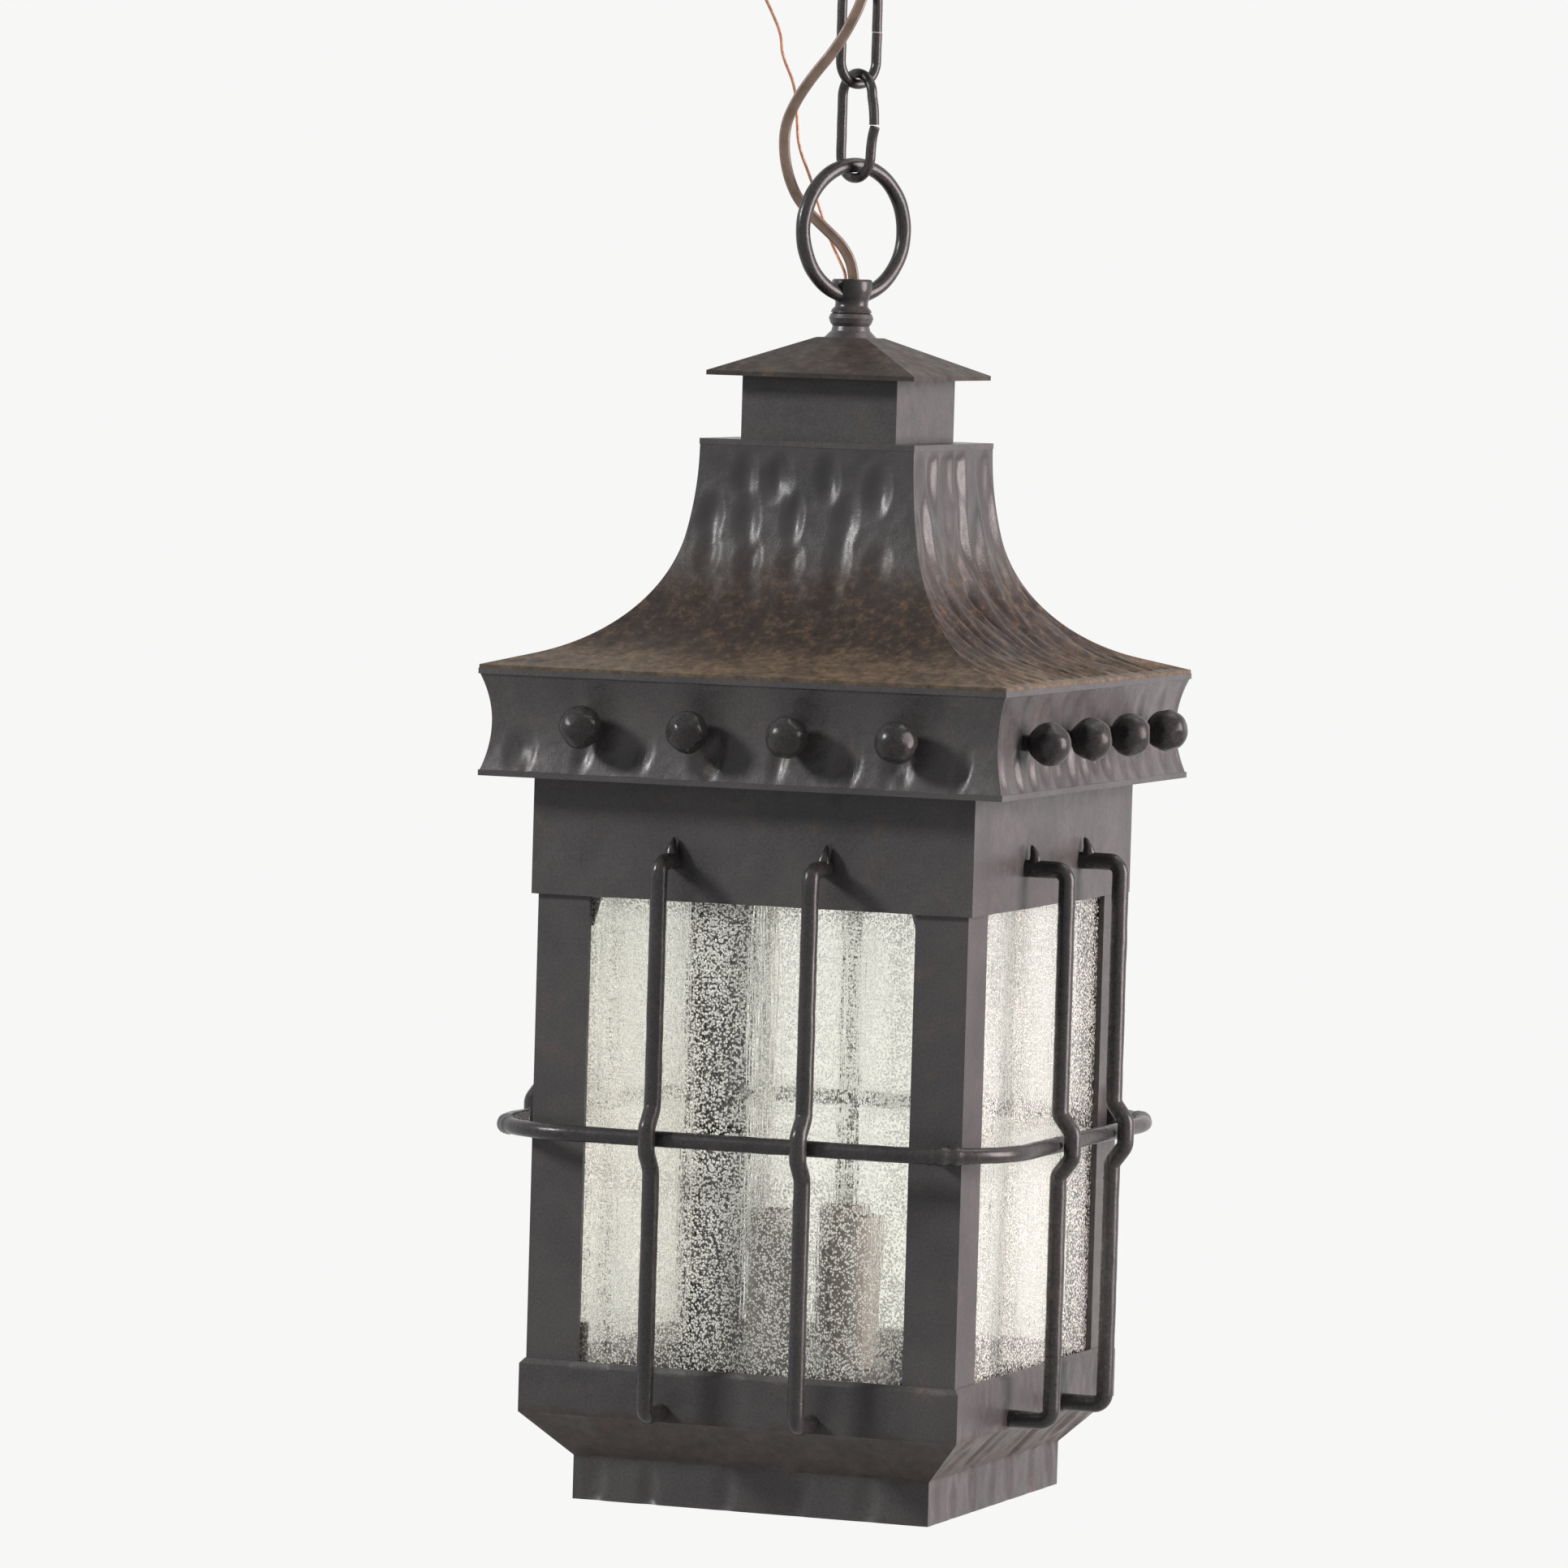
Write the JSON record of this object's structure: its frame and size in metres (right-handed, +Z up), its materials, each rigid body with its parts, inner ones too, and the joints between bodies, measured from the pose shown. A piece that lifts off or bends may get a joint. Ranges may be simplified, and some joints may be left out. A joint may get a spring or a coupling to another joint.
{
  "type": "outdoor hanging lantern",
  "caption": "Square iron porch lantern with a flared roof, ball-studded band, barred glass cage and candle cluster, hung by a ring on a short chain.",
  "frame": {"origin": "centre of the canopy's ceiling face, on the crossbar between its two slots", "axes": "+Z points up into the ceiling, the front window faces -Y and the crossbar's slots lie along X"},
  "size_m": [0.2728, 0.2728, 0.7286],
  "materials": {
    "hammered_iron": "hammered, charcoal bronze",
    "roof_sheet": "hammered, charcoal bronze with rust patina",
    "plated_steel": "zinc plated",
    "ground_screws": "green",
    "lead_jacket": "brown, matt",
    "bare_copper": "bare copper",
    "seeded_glass": "seeded, pale cream green",
    "candle_cover": "satin",
    "socket_shell": "moulded"
  },
  "bodies": {
    "canopy": {"canopy": "hammered_iron", "crossbar": "plated_steel", "canopy_nipple": "plated_steel", "crossbar_nut": "plated_steel", "ground_screw": "ground_screws", "canopy_loop": "hammered_iron", "loop_collar": "hammered_iron", "power_cord_upper": "lead_jacket", "ground_wire_upper": "bare_copper"},
    "upper_link": {"upper_link": "hammered_iron", "power_cord_middle": "lead_jacket", "ground_wire_middle": "bare_copper"},
    "lower_link": {"lower_link": "hammered_iron", "power_cord_lower": "lead_jacket", "ground_wire_lower": "bare_copper"},
    "lantern": {"hanging_ring": "hammered_iron", "neck_coupling": "hammered_iron", "stem_foot": "hammered_iron", "band": "hammered_iron", "ball_studs": "hammered_iron", "fascia": "hammered_iron", "corner_angle_1": "hammered_iron", "corner_angle_2": "hammered_iron", "corner_angle_3": "hammered_iron", "corner_angle_4": "hammered_iron", "guard_rods_right": "hammered_iron", "guard_rods_back": "hammered_iron", "guard_rods_left": "hammered_iron", "guard_rods_front": "hammered_iron", "hoop": "hammered_iron", "hoop_lugs": "hammered_iron", "base_tray": "hammered_iron", "cluster_body": "hammered_iron", "cluster_strap": "hammered_iron", "glass_clips": "hammered_iron", "cupola_cap": "roof_sheet", "cupola_box": "roof_sheet", "roof_plate": "roof_sheet", "roof": "roof_sheet", "hanger_pipe": "plated_steel", "hanger_nut": "plated_steel", "cluster_pipe": "plated_steel", "cluster_nuts": "plated_steel", "wire_conduit": "plated_steel", "conduit_brackets": "plated_steel", "ground_terminal": "ground_screws", "lamp_lead": "lead_jacket", "ground_lead": "bare_copper", "glass_right": "seeded_glass", "glass_back": "seeded_glass", "glass_left": "seeded_glass", "glass_front": "seeded_glass", "candle_sleeve_1": "candle_cover", "candle_sleeve_2": "candle_cover", "candle_sleeve_3": "candle_cover", "socket_1": "socket_shell", "socket_2": "socket_shell", "socket_3": "socket_shell"}
  },
  "joints": [
    {"name": "loop_swing", "type": "hinge", "parent": "canopy", "child": "upper_link", "pos_m": [0, 0, -0.0715], "axis": [0.8729, -0.4879, 0], "range_deg": [-35, 35], "deforming": ["power_cord_upper", "ground_wire_upper"]},
    {"name": "link_swing", "type": "hinge", "parent": "upper_link", "child": "lower_link", "pos_m": [0, 0, -0.1121], "axis": [0.4879, 0.8729, 0], "range_deg": [-35, 35], "deforming": ["power_cord_middle", "ground_wire_middle"]},
    {"name": "ring_swing", "type": "hinge", "parent": "lower_link", "child": "lantern", "pos_m": [0, 0, -0.153], "axis": [0.8729, -0.4879, 0], "range_deg": [-30, 30], "deforming": ["power_cord_lower", "ground_wire_lower"]}
  ]
}
